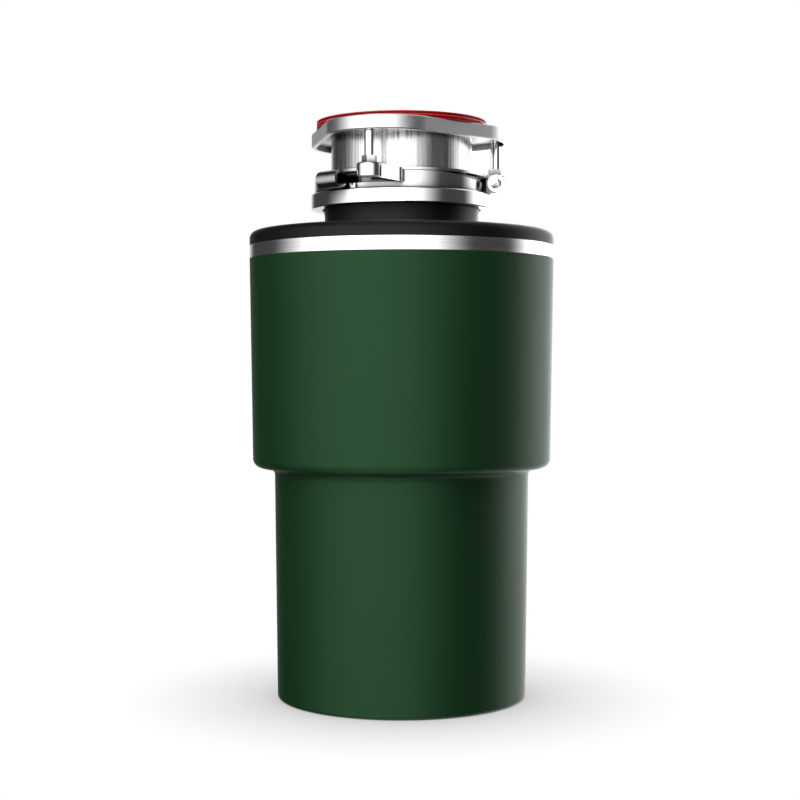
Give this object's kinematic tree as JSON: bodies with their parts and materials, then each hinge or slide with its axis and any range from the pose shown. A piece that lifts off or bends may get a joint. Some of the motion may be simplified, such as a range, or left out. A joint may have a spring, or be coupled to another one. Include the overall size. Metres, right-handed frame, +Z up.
{
  "type": "food waste disposer",
  "caption": "Under-sink food waste disposer: stepped round motor housing, black top cover and neck, twist-lock ring and screw-up sink clamp with gaskets.",
  "frame": {"origin": "middle of the base cover's underside, on the floor that it stands on", "axes": "+Z up along the motor's axis, -Y towards the front that the picture shows, +X to the picture's right"},
  "size_m": [0.1854, 0.2107, 0.3497],
  "materials": {
    "green_paint": "satin dark green enamel with a fine sparkle",
    "black_plastic": "satin black moulded plastic",
    "brushed_trim": "brushed along its length",
    "black_rubber": "matt black rubber",
    "bright_cast": "polished die casting",
    "bright_tube": "bright plated steel",
    "sleeve_steel": "turned and brushed stainless steel",
    "red_rubber": "satin red rubber",
    "screw_steel": "zinc plated steel",
    "chamber_steel": "drawn stainless steel",
    "shredder_steel": "ground stainless steel",
    "cast_aluminium": "as cast",
    "spring_steel": "oiled spring steel",
    "shaft_steel": "ground steel",
    "laminations": "stacked silicon steel sheets",
    "copper": "enamelled copper wire",
    "foam": "charcoal foam",
    "button_red": "gloss red plastic"
  },
  "bodies": {
    "housing": {"body_shell": "green_paint", "base_cover": "black_plastic", "base_screws": "screw_steel", "overload_protector": "black_plastic", "cable_gland": "black_plastic", "trim_band": "brushed_trim", "top_cover": "black_plastic", "neck_mount": "black_rubber", "hopper": "chamber_steel", "shredder_ring": "shredder_steel", "drain_bowl": "cast_aluminium", "drain_spigot": "cast_aluminium", "seal_turret": "cast_aluminium", "motor_bell": "cast_aluminium", "outlet_grommet": "black_rubber", "bowl_seal": "black_rubber", "clamp_band": "chamber_steel", "sound_liner": "foam", "upper_bearing": "shaft_steel", "lower_bearing": "shaft_steel", "shaft_seal": "black_rubber", "stator_core": "laminations", "stator_winding": "copper", "lower_bracket": "cast_aluminium", "through_bolts": "screw_steel", "sink_flange": "sleeve_steel", "upper_gasket": "red_rubber", "lock_nuts": "screw_steel", "mounting_ring": "bright_cast", "snap_ring": "spring_steel"},
    "rotor": {"motor_shaft": "shaft_steel", "rotor_core": "laminations", "turntable": "shredder_steel", "turntable_nut": "screw_steel", "impeller_pins": "shaft_steel"},
    "impeller_1": {"impeller_1": "shredder_steel"},
    "impeller_2": {"impeller_2": "shredder_steel"},
    "lock_ring": {"lock_ring": "bright_cast", "lock_ramps": "bright_cast", "tube_cradles": "bright_cast", "wrench_tubes": "bright_tube"},
    "backup_plate": {"backup_plate": "bright_cast", "lower_gasket": "red_rubber"},
    "clamp_screw_1": {"clamp_screw_1": "screw_steel"},
    "clamp_screw_2": {"clamp_screw_2": "screw_steel"},
    "clamp_screw_3": {"clamp_screw_3": "screw_steel"},
    "splash_guard": {"splash_guard": "black_rubber", "guard_flaps": "black_rubber"},
    "reset_button": {"reset_button": "button_red"}
  },
  "joints": [
    {"name": "rotor_spin", "type": "hinge", "parent": "housing", "child": "rotor", "pos_m": [0, 0, 0.085], "axis": [0, 0, 1], "continuous": true},
    {"name": "impeller_1_swivel", "type": "hinge", "parent": "rotor", "child": "impeller_1", "pos_m": [0.036, 0, 0.2035], "axis": [0, 0, 1], "continuous": true},
    {"name": "impeller_2_swivel", "type": "hinge", "parent": "rotor", "child": "impeller_2", "pos_m": [-0.036, 0, 0.2035], "axis": [0, 0, 1], "continuous": true},
    {"name": "lock_ring_twist", "type": "hinge", "parent": "housing", "child": "lock_ring", "pos_m": [0, 0, 0.3], "axis": [0, 0, 1], "range_deg": [-40, 0]},
    {"name": "clamp_plate_lift", "type": "slide", "parent": "housing", "child": "backup_plate", "axis": [0, 0, 1], "range_m": [-0.012, 0]},
    {"name": "clamp_screw_1_turn", "type": "hinge", "parent": "backup_plate", "child": "clamp_screw_1", "pos_m": [-0.01858, -0.05652, 0.325], "axis": [0, 0, 1], "range_deg": [-4320, 0]},
    {"name": "clamp_screw_2_turn", "type": "hinge", "parent": "backup_plate", "child": "clamp_screw_2", "pos_m": [0.05824, 0.01217, 0.325], "axis": [0, 0, 1], "range_deg": [-4320, 0]},
    {"name": "clamp_screw_3_turn", "type": "hinge", "parent": "backup_plate", "child": "clamp_screw_3", "pos_m": [-0.03966, 0.04436, 0.325], "axis": [0, 0, 1], "range_deg": [-4320, 0]},
    {"name": "splash_guard_lift", "type": "slide", "parent": "housing", "child": "splash_guard", "axis": [0, 0, 1], "range_m": [0, 0.07]},
    {"name": "reset_button_press", "type": "slide", "parent": "housing", "child": "reset_button", "axis": [0, 0, 1], "range_m": [0, 0.003], "stiffness_N_per_m": 400}
  ],
  "couplings": [
    {"joint": "clamp_screw_1_turn", "follows": "clamp_plate_lift", "rad_per_m": 6283.2},
    {"joint": "clamp_screw_2_turn", "follows": "clamp_plate_lift", "rad_per_m": 6283.2},
    {"joint": "clamp_screw_3_turn", "follows": "clamp_plate_lift", "rad_per_m": 6283.2}
  ]
}
